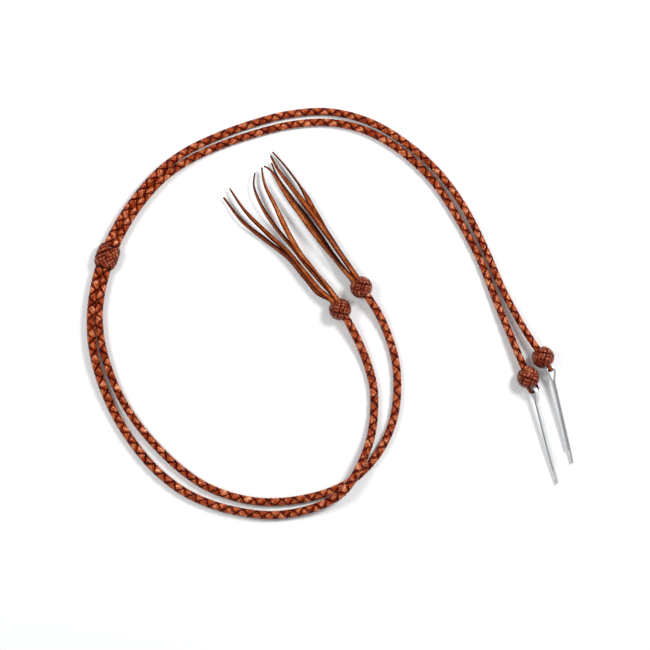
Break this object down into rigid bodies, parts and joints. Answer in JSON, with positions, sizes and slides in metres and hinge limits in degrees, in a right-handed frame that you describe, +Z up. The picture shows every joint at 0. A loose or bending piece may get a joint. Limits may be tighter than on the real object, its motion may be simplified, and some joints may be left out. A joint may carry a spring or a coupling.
{
  "type": "stampede string",
  "caption": "Braided leather chin string for a riding hat: round braids through a sliding knot, with tassels at one end and cotter pins for the hat band at the other.",
  "frame": {"origin": "on the surface the string lies on, at the bottom centre of the box around its knots, tassels, slide and pins", "axes": "+Z up from the surface; +X from the slide knot's side towards the cotter pins; +Y from the braids' crossing towards the far bend"},
  "size_m": [0.2039, 0.1722, 0.0092],
  "materials": {
    "braid": "glossy waxed lace, chestnut, braided in four strands",
    "knot": "glossy interwoven lace, dark chestnut",
    "strip": "satin flat lace, brown",
    "sleeve": "matt inner leather",
    "thread": "dark waxed thread",
    "steel": "bright zinc-plated wire"
  },
  "bodies": {
    "string": {"cord_a": "braid", "cord_b": "braid", "tassel_knot_a": "knot", "tassel_knot_b": "knot", "tassel_binding_a": "thread", "tassel_binding_b": "thread", "tassel_a_strip_1": "strip", "tassel_a_strip_2": "strip", "tassel_a_strip_3": "strip", "tassel_a_strip_4": "strip", "tassel_b_strip_1": "strip", "tassel_b_strip_2": "strip", "tassel_b_strip_3": "strip", "tassel_b_strip_4": "strip", "pin_knot_a": "knot", "pin_knot_b": "knot", "pin_binding_a": "thread", "pin_binding_b": "thread", "pin_loop_a": "strip", "pin_loop_b": "strip"},
    "slide": {"slide_knot": "knot", "slide_sleeve": "sleeve"},
    "pin_a": {"cotter_pin_a": "steel"},
    "pin_b": {"cotter_pin_b": "steel"}
  },
  "joints": [
    {"name": "slide_along_cords", "type": "hinge", "parent": "string", "child": "slide", "pos_m": [-0.014, -0.0035, 0.003], "axis": [0, 0, 1], "range_deg": [-20, 16]},
    {"name": "pin_a_swing", "type": "hinge", "parent": "string", "child": "pin_a", "pos_m": [0.09022, -0.02187, 0.00445], "axis": [0.0184, -0.078, 0.9968], "range_deg": [-5, 100]},
    {"name": "pin_b_lift", "type": "hinge", "parent": "string", "child": "pin_b", "pos_m": [0.0833, -0.03065, 0.00445], "axis": [-0.8284, -0.2557, 0.4984], "range_deg": [0, 85]}
  ]
}
